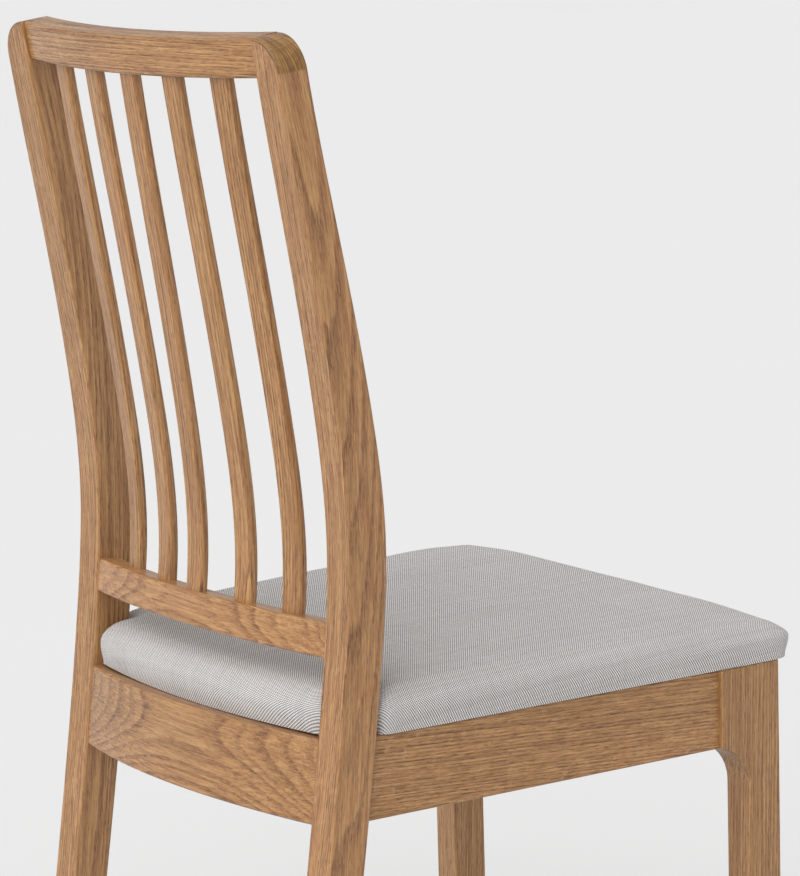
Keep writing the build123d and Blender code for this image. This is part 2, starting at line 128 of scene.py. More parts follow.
# ---- building node trees -------------------------------------------------------------------------
class Net:
    """Short calls for adding nodes to a tree; a value may be a number or another node's output."""

    def __init__(self, tree):
        self.tree = tree

    def feed(self, socket, value):
        if isinstance(value, bpy.types.NodeSocket):
            self.tree.links.new(value, socket)
        else:
            socket.default_value = value

    def node(self, kind, inputs=None, **settings):
        made = self.tree.nodes.new(kind)
        for key, value in settings.items():
            setattr(made, key, value)
        for key, value in (inputs or {}).items():
            self.feed(made.inputs[key], value)
        return made

    def math(self, operation, *values, clamp=False):
        made = self.node("ShaderNodeMath", operation=operation, use_clamp=clamp)
        for socket, value in zip(made.inputs, values):
            self.feed(socket, value)
        return made.outputs[0]

    def vector(self, operation, *values, out=0):
        made = self.node("ShaderNodeVectorMath", operation=operation)
        for socket, value in zip(made.inputs, values):
            self.feed(socket, value)
        return made.outputs[out]

    def split(self, vector):
        return self.node("ShaderNodeSeparateXYZ", {0: vector}).outputs

    def join(self, x=0.0, y=0.0, z=0.0):
        return self.node("ShaderNodeCombineXYZ", {0: x, 1: y, 2: z}).outputs[0]

    def noise(self, vector, scale, detail=2.0, rough=0.5, colour=False):
        made = self.node("ShaderNodeTexNoise", {"Vector": vector, "Scale": scale, "Detail": detail,
                                                "Roughness": rough})
        return made.outputs["Color" if colour else "Fac"]

    def noise_along(self, value, scale, detail=1.0):
        made = self.node("ShaderNodeTexNoise", noise_dimensions="1D")
        self.feed(made.inputs["W"], value)
        made.inputs["Scale"].default_value = scale
        made.inputs["Detail"].default_value = detail
        return made.outputs["Fac"]

    def step(self, value, low, high, to_low=0.0, to_high=1.0):
        made = self.node("ShaderNodeMapRange", {0: value, 1: low, 2: high, 3: to_low, 4: to_high},
                         interpolation_type="SMOOTHSTEP")
        return made.outputs[0]

    def scaled(self, value, low, high, to_low, to_high):
        made = self.node("ShaderNodeMapRange", {0: value, 1: low, 2: high, 3: to_low, 4: to_high})
        return made.outputs[0]

    def mix(self, share, a, b, blend="MIX"):
        made = self.node("ShaderNodeMix", data_type="RGBA", blend_type=blend)
        for index, value in ((0, share), (6, a), (7, b)):
            self.feed(made.inputs[index], value)
        return made.outputs[2]

    def grey(self, value):
        """A grey colour from a number, for multiplying colours."""
        return self.node("ShaderNodeCombineColor", {0: value, 1: value, 2: value}).outputs[0]

    def ramp(self, value, stops, interpolation="B_SPLINE"):
        made = self.node("ShaderNodeValToRGB", {0: value})
        band = made.color_ramp
        band.interpolation = interpolation
        while len(band.elements) < len(stops):
            band.elements.new(0.5)
        for element, (place, level) in zip(band.elements, stops):
            element.position = place
            element.color = (level, level, level, 1.0)
        return made.outputs[0]


def new_material(name, **values):
    """A material with its Principled shader; values are set on the shader's own sockets."""
    material = bpy.data.materials.new(name)
    material.use_nodes = True
    shader = material.node_tree.nodes["Principled BSDF"]
    for key, value in values.items():
        shader.inputs[key.replace("_", " ")].default_value = value
    return material, Net(material.node_tree), shader


def object_place(net):
    return net.node("ShaderNodeTexCoord").outputs["Object"]


def add_bump(net, shader, height, distance, strength=1.0):
    bump = net.node("ShaderNodeBump", {"Height": height, "Strength": strength, "Distance": distance})
    net.feed(shader.inputs["Normal"], bump.outputs[0])


# ---- oak -----------------------------------------------------------------------------------------
OAK_LIGHT = srgb(192, 147, 95)
OAK_MID = srgb(168, 121, 74)
OAK_EARLY = srgb(124, 79, 44)
OAK_PORE = srgb(74, 42, 20)
OAK_RAY = srgb(200, 158, 111)
OAK_RED = srgb(158, 101, 71)
OAK_END_LIGHT = srgb(166, 124, 72)
OAK_END_DARK = srgb(112, 77, 39)
OAK_GLOSS = dict(Specular_IOR_Level=0.3, Coat_Weight=0.55, Coat_Roughness=0.25)

# Noise drawn out along the grain: its stretch there, scale, detail and roughness.
STREAK = (0.022, 520.0, 4.0, 0.6)
BROAD = (0.10, 26.0, 2.0, 0.5)
FINE_PORE = (0.075, 1500.0, 1.0, 0.5)
LONG_PORE = (0.040, 760.0, 1.0, 0.5)
STRIPE = (0.016, 230.0, 3.0, 0.55)
SWAYS = ((0.16, 8.0, 0.016), (0.12, 42.0, 0.0022), (0.30, 240.0, 0.0008))   # stretch, scale, metres

# Scales of the noise round the pith: by angle, outwards and along.
RAY_SCALES = (120.0, 55.0, 90.0)
END_SCALES = (48.0, 30.0, 30.0)
RING = ((0.0, 0.22), (0.10, 1.0), (0.26, 0.8), (0.52, 0.22), (0.92, 0.05))  # early wood in one ring

# End grain: the way it faces, where it fades in, and the height it starts at in metres.
POST_END = ((0.0, 0.22, 0.975), 0.05, 0.09, 0.90)
LEG_END = ((0.0, 0.036, 0.999), 0.45, 0.85, 0.30)


def oak_group():
    """Oak as a solid texture. Grain is a place in metres: z along the grain, the pith at x = y = 0."""
    tree = bpy.data.node_groups.new("oak", "ShaderNodeTree")
    inputs = (("Grain", "Vector", None), ("Spacing", "Float", 0.0028), ("Seed", "Float", 0.0),
              ("Tone", "Float", 1.0), ("Red", "Float", 0.0), ("Figure", "Float", 1.0),
              ("End", "Float", 0.0))
    for name, kind, default in inputs:
        socket = tree.interface.new_socket(name, in_out="INPUT", socket_type=f"NodeSocket{kind}")
        if default is not None:
            socket.default_value = default
    for name, kind in (("Color", "Color"), ("Roughness", "Float"), ("Height", "Float")):
        tree.interface.new_socket(name, in_out="OUTPUT", socket_type=f"NodeSocket{kind}")
    net = Net(tree)
    given = net.node("NodeGroupInput").outputs
    place = given["Grain"]
    seed = given["Seed"]
    seeded = net.vector("ADD", place, net.join(seed, net.math("MULTIPLY", seed, 1.7), seed))

    def along(stretch):
        return net.vector("MULTIPLY", seeded, (1.0, 1.0, stretch))

    def drawn_out(stretch, scale, detail, rough):
        return net.noise(along(stretch), scale, detail, rough)

    swayed = place
    for stretch, scale, reach in SWAYS:
        wave = net.noise(along(stretch), scale, 2.0, colour=True)
        wave = net.vector("SUBTRACT", wave, (0.5, 0.5, 0.5))
        swayed = net.vector("ADD", swayed, net.vector("MULTIPLY", wave, (reach, reach, 0.0)))
    x, y, _ = net.split(swayed)
    radius = net.math("SQRT", net.math("ADD", net.math("MULTIPLY", x, x), net.math("MULTIPLY", y, y)))
    turns = net.math("DIVIDE", radius, given["Spacing"])
    uneven = net.noise_along(net.math("ADD", turns, seed), 0.31)
    turns = net.math("ADD", turns, net.math("MULTIPLY", uneven, 1.6))
    ring = net.math("FLOOR", turns)
    within = net.math("FRACT", turns)
    ring_luck = net.node("ShaderNodeTexWhiteNoise", {"W": net.math("ADD", ring, seed)},
                         noise_dimensions="1D").outputs["Value"]
    early = net.ramp(within, RING)
    early = net.math("MULTIPLY", early, net.scaled(ring_luck, 0.0, 1.0, 0.45, 1.0))

    streak = drawn_out(*STREAK)
    broad = drawn_out(*BROAD)
    fine_pore = net.step(drawn_out(*FINE_PORE), 0.53, 0.63)
    long_pore = net.step(drawn_out(*LONG_PORE), 0.56, 0.66)
    pores = net.math("MAXIMUM", fine_pore, net.math("MULTIPLY", long_pore, 0.9))
    pores = net.math("MULTIPLY", pores, net.scaled(early, 0.0, 1.0, 0.32, 1.0))

    angle = net.math("ARCTAN2", y, x)
    up = net.split(seeded)[2]

    def round_pith(scales, detail, rough=0.5):
        spots = [net.math("MULTIPLY", *pair) for pair in zip((angle, radius, up), scales)]
        return net.noise(net.join(*spots), 1.0, detail, rough)

    ray = net.step(round_pith(RAY_SCALES, 1.0), 0.62, 0.72)

    figure = given["Figure"]
    stripe = net.step(drawn_out(*STRIPE), 0.50, 0.66)
    colour = net.mix(net.step(streak, 0.36, 0.62), OAK_LIGHT, OAK_MID)
    colour = net.mix(net.math("MULTIPLY", net.math("MULTIPLY", early, 0.88), figure), colour, OAK_EARLY)
    colour = net.mix(net.math("MULTIPLY", net.math("MULTIPLY", stripe, 0.42), figure), colour, OAK_EARLY)
    colour = net.mix(net.math("MULTIPLY", ray, 0.28), colour, OAK_RAY)
    pore_share = net.math("MULTIPLY", pores, net.scaled(figure, 0.0, 1.0, 0.45, 0.85))
    colour = net.mix(pore_share, colour, OAK_PORE)
    red_share = net.math("MULTIPLY", given["Red"], net.step(broad, 0.3, 0.7, 0.4, 1.0))
    colour = net.mix(red_share, colour, OAK_RED)

    end_lines = net.step(round_pith(END_SCALES, 3.0, 0.65), 0.36, 0.64)
    end_share = net.math("ADD", end_lines, net.math("MULTIPLY", early, 0.45), clamp=True)
    end_colour = net.mix(end_share, OAK_END_LIGHT, OAK_END_DARK)
    colour = net.mix(given["End"], colour, end_colour)

    tone = net.math("MULTIPLY", given["Tone"], net.scaled(broad, 0.25, 0.75, 0.93, 1.07))
    colour = net.mix(1.0, colour, net.grey(tone), "MULTIPLY")

    rough = net.math("ADD", net.scaled(streak, 0.3, 0.7, 0.40, 0.50), net.math("MULTIPLY", pores, 0.22))
    height = net.math("SUBTRACT", net.math("MULTIPLY", streak, 0.25), net.math("MULTIPLY", pores, 0.8))
    height = net.math("SUBTRACT", height, net.math("MULTIPLY", early, 0.15))
    net.node("NodeGroupOutput", {"Color": colour, "Roughness": rough, "Height": height})
    return tree


def centre_line(obj, along, across, start):
    """Cubic that a curved member's middle follows: across as a function of along, from start."""
    points = np.array([vertex.co[:] for vertex in obj.data.vertices])
    places, middles = [], []
    edges = np.linspace(points[:, along].min(), points[:, along].max(), 15)
    for low, high in zip(edges[:-1], edges[1:]):
        band = points[(points[:, along] >= low) & (points[:, along] <= high)]
        if len(band) > 3:
            places.append((low + high) / 2 - start[along])
            middles.append((band[:, across].min() + band[:, across].max()) / 2 - start[across])
    return np.polyfit(places, middles, 3)


AXES = {"X": (1, 2, 0), "Y": (0, 2, 1), "Z": (0, 1, 2)}     # two across the grain, then along it


def oak(oak_tree, node, grain, pith, tilt, spacing, seed, tone=1.0, red=0.0, figure=1.0, bend=None,
        follow=0.0, end=None):
    """Oak for one CAD node, cut from its own place in a log.

    pith and spacing, the width of a ring, are in millimetres and tilt is in degrees. bend is the axis, 0 to
    2, towards which the member curves, and follow is how closely its grain keeps to the curve.
    """
    obj = frame["nodes"][node]
    low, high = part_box(node)
    middle = [(a + b) / 2 for a, b in zip(low, high)]
    material, net, shader = new_material("oak_" + node, **OAK_GLOSS)
    axes = AXES[grain]
    place = object_place(net)
    parts = list(net.split(net.vector("SUBTRACT", place, tuple(middle))))
    if bend is not None:
        line = centre_line(obj, axes[2], bend, middle)
        shift = float(line[0])
        for factor in line[1:]:
            shift = net.math("MULTIPLY_ADD", shift, parts[axes[2]], float(factor))
        parts[bend] = net.math("SUBTRACT", parts[bend], net.math("MULTIPLY", shift, follow))
    ordered = net.join(*(parts[axis] for axis in axes))
    turned = net.node("ShaderNodeMapping", {
        "Vector": ordered, "Location": (-pith[0] * MM, -pith[1] * MM, 0.0),
        "Rotation": (math.radians(tilt[0]), math.radians(tilt[1]), 0.0)})
    wood = net.node("ShaderNodeGroup", node_tree=oak_tree)
    given = {"Grain": turned.outputs[0], "Spacing": spacing * MM, "Seed": seed, "Tone": tone, "Red": red,
             "Figure": figure}
    for key, value in given.items():
        net.feed(wood.inputs[key], value)
    if end:
        direction, low_cut, high_cut, above = end
        facing = net.vector("DOT_PRODUCT", net.node("ShaderNodeTexCoord").outputs["Normal"], direction,
                            out="Value")
        share = net.step(net.math("ABSOLUTE", facing), low_cut, high_cut)
        height = net.split(place)[2]
        net.feed(wood.inputs["End"], net.math("MULTIPLY", share, net.math("GREATER_THAN", height, above)))
    net.feed(shader.inputs["Base Color"], wood.outputs["Color"])
    net.feed(shader.inputs["Roughness"], wood.outputs["Roughness"])
    add_bump(net, shader, wood.outputs["Height"], 0.15 * MM, 0.6)
    paint(obj, material)


def paint(obj, material):
    """The material in every slot of an object."""
    if not obj.material_slots:
        obj.data.materials.append(material)
    for slot in obj.material_slots:
        slot.material = material


# ---- other materials -----------------------------------------------------------------------------
def beech():
    material, net, shader = new_material("beech", Roughness=0.55)
    place = object_place(net)
    streak = net.noise(net.vector("MULTIPLY", place, (60.0, 60.0, 900.0)), 1.0, 3.0)
    fleck = net.step(net.noise(net.vector("MULTIPLY", place, (300.0, 300.0, 1500.0)), 1.0, 1.0), 0.6, 0.7)
    colour = net.mix(net.step(streak, 0.3, 0.7), srgb(214, 178, 140), srgb(196, 156, 116))
    colour = net.mix(net.math("MULTIPLY", fleck, 0.5), colour, srgb(158, 110, 76))
    net.feed(shader.inputs["Base Color"], colour)
    add_bump(net, shader, streak, 0.1 * MM)
    return material


def plywood():
    material, net, shader = new_material("plywood", Roughness=0.7)
    place = object_place(net)
    veneer = net.math("PINGPONG", net.split(place)[2], 1.4 * MM)
    band = net.step(veneer, 0.5 * MM, 0.9 * MM)
    streak = net.noise(net.vector("MULTIPLY", place, (20.0, 700.0, 700.0)), 1.0, 3.0)
    colour = net.mix(band, srgb(206, 172, 130), srgb(164, 122, 84))
    colour = net.mix(net.step(streak, 0.35, 0.65, 0.0, 0.4), colour, srgb(150, 110, 74))
    net.feed(shader.inputs["Base Color"], colour)
    add_bump(net, shader, streak, 0.15 * MM)
    return material


def zinc():
    material, net, shader = new_material("zinc", Metallic=1.0)
    place = object_place(net)
    cloud = net.noise(place, 180.0, 3.0)
    grain = net.noise(place, 1900.0, 2.0)
    net.feed(shader.inputs["Base Color"], net.mix(cloud, srgb(196, 196, 190), srgb(160, 162, 164)))
    net.feed(shader.inputs["Roughness"], net.scaled(grain, 0.3, 0.7, 0.28, 0.46))
    add_bump(net, shader, grain, 0.03 * MM)
    return material


def nylon():
    material, net, shader = new_material("nylon", Subsurface_Weight=0.15, Subsurface_Scale=0.003)
    place = object_place(net)
    speck = net.noise(place, 900.0, 2.0)
    # darker towards the bottom: the lowest 2 mm, next to the floor
    bottom_darkening = net.step(net.split(place)[2], 0.0, 2.0 * MM)
    colour = net.mix(speck, srgb(222, 217, 205), srgb(206, 200, 188))
    colour = net.mix(bottom_darkening, srgb(150, 146, 138), colour)
    net.feed(shader.inputs["Base Color"], colour)
    net.feed(shader.inputs["Roughness"], net.scaled(speck, 0.3, 0.7, 0.45, 0.6))
    add_bump(net, shader, speck, 0.04 * MM)
    return material


def spunbonded():
    """Black non-woven dust cloth: pressed fibres with a grid of weld points."""
    material, net, shader = new_material("spunbonded", Roughness=0.85, Sheen_Weight=0.2)
    place = object_place(net)
    x, y, _ = net.split(place)
    fibre = net.noise(net.vector("MULTIPLY", place, (3000.0, 500.0, 500.0)), 1.0, 2.0)
    cross = net.noise(net.vector("MULTIPLY", place, (500.0, 3000.0, 500.0)), 1.0, 2.0)
    dots = [net.math("PINGPONG", axis, 0.8 * MM) for axis in (x, y)]
    weld = net.step(net.math("ADD", *dots), 0.25 * MM, 0.5 * MM, 1.0, 0.0)
    lay = net.math("MULTIPLY", net.math("ADD", fibre, cross), 0.5)
    colour = net.mix(net.step(lay, 0.35, 0.65), srgb(26, 26, 27), srgb(58, 57, 56))
    colour = net.mix(net.math("MULTIPLY", weld, 0.6), colour, srgb(20, 20, 20))
    net.feed(shader.inputs["Base Color"], colour)
    add_bump(net, shader, net.math("SUBTRACT", lay, weld), 0.1 * MM)
    return material


LIGHT_YARN = (srgb(238, 234, 231), srgb(224, 220, 217))
DARK_YARN = (srgb(118, 114, 115), srgb(96, 92, 93))
# painted shade: a darker colour laid in the dips between the yarns
YARN_GAP_SHADE = srgb(90, 87, 87)


def seat_fabric():
    """Plain weave of light and dark yarns. The weave attribute is a point's place on the flat cloth."""
    material, net, shader = new_material("seat_fabric", Roughness=0.86, Sheen_Weight=0.25,
                                         Sheen_Roughness=0.5, Specular_IOR_Level=0.25)
    flat = net.node("ShaderNodeAttribute", attribute_name="weave").outputs["Vector"]
    wander = net.vector("SCALE", net.vector("SUBTRACT", net.noise(flat, 0.05, 2.0, colour=True), (0.5,) * 3))
    wander.node.inputs["Scale"].default_value = YARN_WANDER
    x, y, _ = net.split(net.vector("ADD", flat, wander))
    x, y = (net.math("DIVIDE", axis, cell) for axis, cell in zip((x, y), WEAVE_CELL))
    column, row = net.math("FLOOR", x), net.math("FLOOR", y)
    over = net.math("FLOORED_MODULO", net.math("ADD", column, row), 2.0)
    arch = [net.math("SINE", net.math("MULTIPLY", net.math("FRACT", axis), math.pi)) for axis in (x, y)]
    pillow = net.math("SQRT", net.math("MULTIPLY", *arch, clamp=True))
    lucks = [net.node("ShaderNodeTexWhiteNoise", {"W": number}, noise_dimensions="1D").outputs["Value"]
             for number in (column, row)]
    light_yarn = net.mix(lucks[0], *LIGHT_YARN)
    dark_yarn = net.mix(lucks[1], *DARK_YARN)
    colour = net.mix(over, dark_yarn, light_yarn)
    # painted shade where the yarns dip between crossings, darkest in the gaps
    colour = net.mix(net.step(pillow, 0.0, 0.6, 0.40, 0.0), colour, YARN_GAP_SHADE)
    cloud = net.noise(flat, 0.012, 2.0)
    colour = net.mix(1.0, colour, net.grey(net.scaled(cloud, 0.3, 0.7, 0.97, 1.03)), "MULTIPLY")
    net.feed(shader.inputs["Base Color"], colour)
    fuzz = net.noise(flat, 7.0, 2.0)
    height = net.math("ADD", pillow, net.math("MULTIPLY", fuzz, 0.25))
    height = net.math("ADD", height, net.math("MULTIPLY", over, 0.15))
    add_bump(net, shader, height, 0.12 * MM, 0.7)
    return material


def floor_material():
    material, net, shader = new_material("floor", Roughness=0.9, Specular_IOR_Level=0.05)
    cloud = net.noise(object_place(net), 0.7, 3.0)
    net.feed(shader.inputs["Base Color"], net.mix(cloud, *FLOOR_GREYS))
    return material


# ---- the seat pad --------------------------------------------------------------------------------
SEAT_AXES = (Matrix.Translation((0.0, SEAT_FRONT_Y * MM, SEAT_FRONT_Z * MM))
             @ Matrix.Rotation(math.radians(-SEAT_TILT), 4, "X") @ Matrix.Scale(MM, 4))


def rounded(points, radii, steps=8):
    """A closed outline with its corners rounded by arcs."""
    outline = []
    count = len(points)
    for i, (point, radius) in enumerate(zip(points, radii)):
        here = np.array(point, float)
        before, after = np.array(points[i - 1], float), np.array(points[(i + 1) % count], float)
        if radius <= 0:
            outline.append(here)
            continue
        to_before, to_after = before - here, after - here
        to_before /= np.linalg.norm(to_before)
        to_after /= np.linalg.norm(to_after)
        half = math.acos(np.clip(to_before @ to_after, -1, 1)) / 2
        shortest = min(np.linalg.norm(before - here), np.linalg.norm(after - here))
        run = min(radius / math.tan(half), shortest * 0.49)
        for k in range(steps + 1):
            t = k / steps
            outline.append((1 - t) ** 2 * (here + to_before * run) + 2 * t * (1 - t) * here
                           + t ** 2 * (here + to_after * run))
    return outline


def pad_outline(inset):
    """The pad from above, drawn in by an inset, in the seat frame's axes."""
    tail = []
    for k in range(-10, 11):
        x = (PAD_TAIL_HALF - inset) * k / 10
        tail.append((x, PAD_TAIL_Y - inset + PAD_TAIL_BOW * (1 - (k / 10) ** 2)))
    right = [(PAD_FRONT_HALF - inset, PAD_FRONT_Y + inset), (PAD_REAR_HALF - inset, PAD_NOTCH_Y - inset),
             (PAD_TAIL_HALF - inset, PAD_NOTCH_Y - inset)]
    left = [(-x, y) for x, y in reversed(right)]
    points = right + tail[::-1] + left
    big, small = max(FRONT_CORNER - inset, LEAST_CORNER), max(REAR_CORNER - inset, LEAST_CORNER)
    radii = [big, small, 0.0, small] + [0.0] * (len(tail) - 2) + [small, 0.0, small, big]
    return rounded(points, radii)


def stacked(name, levels):
    """A closed mesh through outlines at rising levels, as (inset, z)."""
    shape = bmesh.new()
    rings = []
    for inset, z in levels:
        rings.append([shape.verts.new((x, y, z)) for x, y in pad_outline(inset)])
    shape.faces.new(reversed(rings[0]))
    shape.faces.new(rings[-1])
    for low, high in zip(rings[:-1], rings[1:]):
        for i in range(len(low)):
            j = (i + 1) % len(low)
            shape.faces.new((low[i], low[j], high[j], high[i]))
    bmesh.ops.recalc_face_normals(shape, faces=shape.faces)
    mesh = bpy.data.meshes.new(name)
    shape.to_mesh(mesh)
    shape.free()
    made = bpy.data.objects.new(name, mesh)
    bpy.context.scene.collection.objects.link(made)
    return made


def apply_modifiers(obj):
    """Puts what an object's modifiers make into its mesh and removes them."""
    graph = bpy.context.evaluated_depsgraph_get()
    mesh = bpy.data.meshes.new_from_object(obj.evaluated_get(graph))
    obj.modifiers.clear()
    old, obj.data = obj.data, mesh
    bpy.data.meshes.remove(old)


def points_of(mesh):
    """A mesh's points, one to a row."""
    flat = np.empty(len(mesh.vertices) * 3)
    mesh.vertices.foreach_get("co", flat)
    return flat.reshape(-1, 3)


def ramp_up(value, low, high):
    """Smooth 0 to 1 between low and high."""
    t = np.clip((value - low) / (high - low), 0, 1)
    return t * t * (3 - 2 * t)


def pad_start():
    """The pad before its cover fills out: its full outline, a little low on top, the top edge rounded."""
    top = PAD_TOP - START_DROP
    levels = [(0.0, -START_BELOW), (0.0, top - PAD_ROUND)]
    for k in range(1, 8):
        angle = math.radians(90 * k / 7)
        levels.append((PAD_ROUND * (1 - math.cos(angle)), top - PAD_ROUND * (1 - math.sin(angle))))
    return stacked("seat_pad", levels)


def nearest_on_outline(points):
    """The nearest place on the pad's outline for each point, and how far inside it the point stands."""
    starts = np.array(pad_outline(0.0))
    runs = np.roll(starts, -1, 0) - starts
    squares = np.maximum((runs ** 2).sum(1), 1e-9)
    offsets = points[:, None, :2] - starts
    shares = np.clip((offsets * runs).sum(2) / squares, 0, 1)
    places = starts + shares[..., None] * runs
    distances = np.linalg.norm(points[:, None, :2] - places, axis=2)
    best = distances.argmin(1)
    rows = np.arange(len(points))
    run, offset = runs[best], offsets[rows, best]
    inside = np.sign(run[:, 0] * offset[:, 1] - run[:, 1] * offset[:, 0])
    return places[rows, best], distances[rows, best] * inside


def press_to_board(points):
    """Brings what is inside the outline, low on the pad's side, out to it, to cover the board's edge."""
    band = (points[:, 2] > -START_BELOW / 2) & (points[:, 2] < HEM + HEM_FADE)
    side = points[band]
    places, inside = nearest_on_outline(side)
    share = (1 - ramp_up(side[:, 2], HEM, HEM + HEM_FADE)) * ((inside > 0) & (inside < SIDE_REACH))
    side[:, :2] += (places - side[:, :2]) * share[:, None]
    points[band] = side
    return points


def fill_out(pad):
    """Sides that belly out at half height, and a top that falls off towards the front corners."""
    points = points_of(pad.data)
    normals = np.empty(points.size)
    pad.data.vertices.foreach_get("normal", normals)
    normals = normals.reshape(-1, 3)
    x, y, z = points.T
    belly = SIDE_BULGE * np.sin(np.pi * np.clip(z / PAD_TOP, 0, 1))
    to_left = ramp_up(x, -CORNER_BLEND, CORNER_BLEND)
    drop, reach = (right + (left - right) * to_left for right, left in (CORNER_DROP, CORNER_REACH))
    away = (PAD_FRONT_HALF - np.abs(x)) ** 2 + (y - PAD_FRONT_Y) ** 2
    corner = np.exp(-away / (2 * reach ** 2))
    points[:, :2] += normals[:, :2] * belly[:, None]
    points[:, 2] -= drop * corner * ramp_up(z, HEM, PAD_TOP - WHOLE_DROP)
    pad.data.vertices.foreach_set("co", points.ravel())


def trim_underside(pad):
    """Cuts the pad off level with the top of its frame and closes it there."""
    shape = bmesh.new()
    shape.from_mesh(pad.data)
    cut = bmesh.ops.bisect_plane(shape, geom=shape.verts[:] + shape.edges[:] + shape.faces[:],
                                 plane_co=(0, 0, 0), plane_no=(0, 0, 1), clear_inner=True)
    rim = [item for item in cut["geom_cut"] if isinstance(item, bmesh.types.BMEdge)]
    bmesh.ops.holes_fill(shape, edges=rim)
    bmesh.ops.recalc_face_normals(shape, faces=shape.faces)
    shape.to_mesh(pad.data)
    shape.free()


def hollow_for_board(pad):
    """Adds the inner skin of the space that the seat board fills."""
    low, high = BOARD[0] - BOARD_GAP, BOARD[1] + BOARD_GAP
    inset = BOARD_INSET - BOARD_GAP
    cavity = stacked("cavity", [(inset, low), (inset, high)])
    cavity.data.flip_normals()
    shape = bmesh.new()
    shape.from_mesh(pad.data)
    shape.from_mesh(cavity.data)
    shape.to_mesh(pad.data)
    shape.free()
    mesh = cavity.data
    bpy.data.objects.remove(cavity)
    bpy.data.meshes.remove(mesh)


def spread(mesh, values, rounds):
    """Evens values out between neighbouring points, so that only the broad shape stays."""
    ends = np.empty(len(mesh.edges) * 2, dtype=np.int32)
    mesh.edges.foreach_get("vertices", ends)
    one, other = ends.reshape(-1, 2).T
    here, there = np.concatenate((one, other)), np.concatenate((other, one))
    count = np.bincount(here, minlength=len(values))[:, None]
    for _ in range(rounds):
        sums = [np.bincount(here, weights=values[there, axis], minlength=len(values))
                for axis in range(3)]
        values = (values + np.stack(sums, 1) / count) / 2
    return values


def inflate(pad):
    """Cloth under pressure swells the pad above its board; no point moves further than the cap."""
    start = points_of(pad.data)
    held = pad.vertex_groups.new(name="held")
    weights = 1 - ramp_up(start[:, 2], HELD_BELOW, HEM)
    for index, weight in enumerate(weights):
        if weight > 0:
            held.add([index], float(weight), "REPLACE")
    cloth = pad.modifiers.new("cloth", "CLOTH")
    settings = cloth.settings
    settings.quality = 6
    settings.mass = 0.3
    settings.tension_stiffness = settings.compression_stiffness = 25
    settings.shear_stiffness = 10
    settings.bending_stiffness = 2
    settings.use_pressure = True
    settings.uniform_pressure_force = 4.0
    settings.effector_weights.gravity = 0
    settings.vertex_group_mass = "held"
    cloth.collision_settings.use_collision = False
    scene = bpy.context.scene
    for number in range(1, SWELL_FRAMES + 1):
        scene.frame_set(number)
    graph = bpy.context.evaluated_depsgraph_get()
    swollen = points_of(pad.evaluated_get(graph).data)
    pad.modifiers.clear()
    pad.vertex_groups.clear()
    scene.frame_set(1)
    moved = swollen - start
    length = np.linalg.norm(moved, axis=1, keepdims=True)
    moved *= PAD_CAP * np.tanh(length / PAD_CAP) / np.maximum(length, 1e-6)
    moved = spread(pad.data, moved, TAUTNESS) * ramp_up(start[:, 2:], HELD_BELOW, HEM)
    return start, moved


def clear_of_posts(points):
    """Keeps the pad a hair off the posts."""
    x, y, z = points.T
    side, front = PAD_TAIL_HALF + SWELL_ASIDE, PAD_NOTCH_Y + SWELL_BACK
    past_side, past_front = np.abs(x) - side, y - front
    in_notch = (past_side > 0) & (past_front > 0)
    slide_in = in_notch & (past_side < past_front)
    slide_forward = in_notch & ~slide_in
    x = np.where(slide_in, np.sign(x) * side, x)
    y = np.where(slide_forward, front, y)
    return np.stack((x, y, z), 1)


def weave_places(points):
    """Where each point lies on the flat cloth: it runs straight over the top and down each side."""
    x, y, z = points.T
    share = np.clip((y - PAD_FRONT_Y) / (PAD_NOTCH_Y - PAD_FRONT_Y), 0, 1)
    half = PAD_FRONT_HALF + (PAD_REAR_HALF - PAD_FRONT_HALF) * share
    half = np.where(y > PAD_NOTCH_Y + 1, PAD_TAIL_HALF, half)
    rear = np.where(np.abs(x) > PAD_TAIL_HALF, PAD_NOTCH_Y,
                    PAD_TAIL_Y + PAD_TAIL_BOW * (1 - (x / PAD_TAIL_HALF) ** 2))
    over_side = np.maximum(np.abs(x) - half + PAD_ROUND, 0)
    over_front = np.maximum(PAD_FRONT_Y + PAD_ROUND - y, 0)
    over_rear = np.maximum(y - rear + PAD_ROUND, 0)
    over_end = np.maximum(over_front, over_rear)
    total = over_side ** 2 + over_end ** 2 + 1e-6
    drop = np.maximum(PAD_TOP - z, 0)
    u = x + np.sign(x) * drop * over_side ** 2 / total
    v = y + np.where(over_front > over_rear, -1, 1) * drop * over_end ** 2 / total
    return np.stack((u, v, np.zeros_like(u)), 1)


def seat_pad():
    """The upholstered pad: a remeshed block swollen by cloth pressure, hollow where its board lies."""
    pad = pad_start()
    remesh = pad.modifiers.new("remesh", "REMESH")
    remesh.mode = "VOXEL"
    remesh.voxel_size = VOXEL
    apply_modifiers(pad)
    start, moved = inflate(pad)
    smooth = pad.modifiers.new("smooth", "SMOOTH")
    smooth.factor, smooth.iterations = 0.5, 4
    points = start + moved
    pad.data.vertices.foreach_set("co", points.ravel())
    apply_modifiers(pad)
    fill_out(pad)
    finer = pad.modifiers.new("finer", "SUBSURF")
    finer.levels = finer.render_levels = 1
    apply_modifiers(pad)
    points = press_to_board(clear_of_posts(points_of(pad.data)))
    pad.data.vertices.foreach_set("co", points.ravel())
    trim_underside(pad)
    hollow_for_board(pad)
    weave = pad.data.attributes.new("weave", "FLOAT_VECTOR", "POINT")
    weave.data.foreach_set("vector", weave_places(points_of(pad.data)).ravel())
    pad.data.transform(SEAT_AXES)
    pad.data.polygons.foreach_set("use_smooth", [True] * len(pad.data.polygons))
    pad.data.update()
    paint(pad, seat_fabric())
    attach(pad, "root")
    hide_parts("seat_cover", "seat_wadding", "seat_foam")


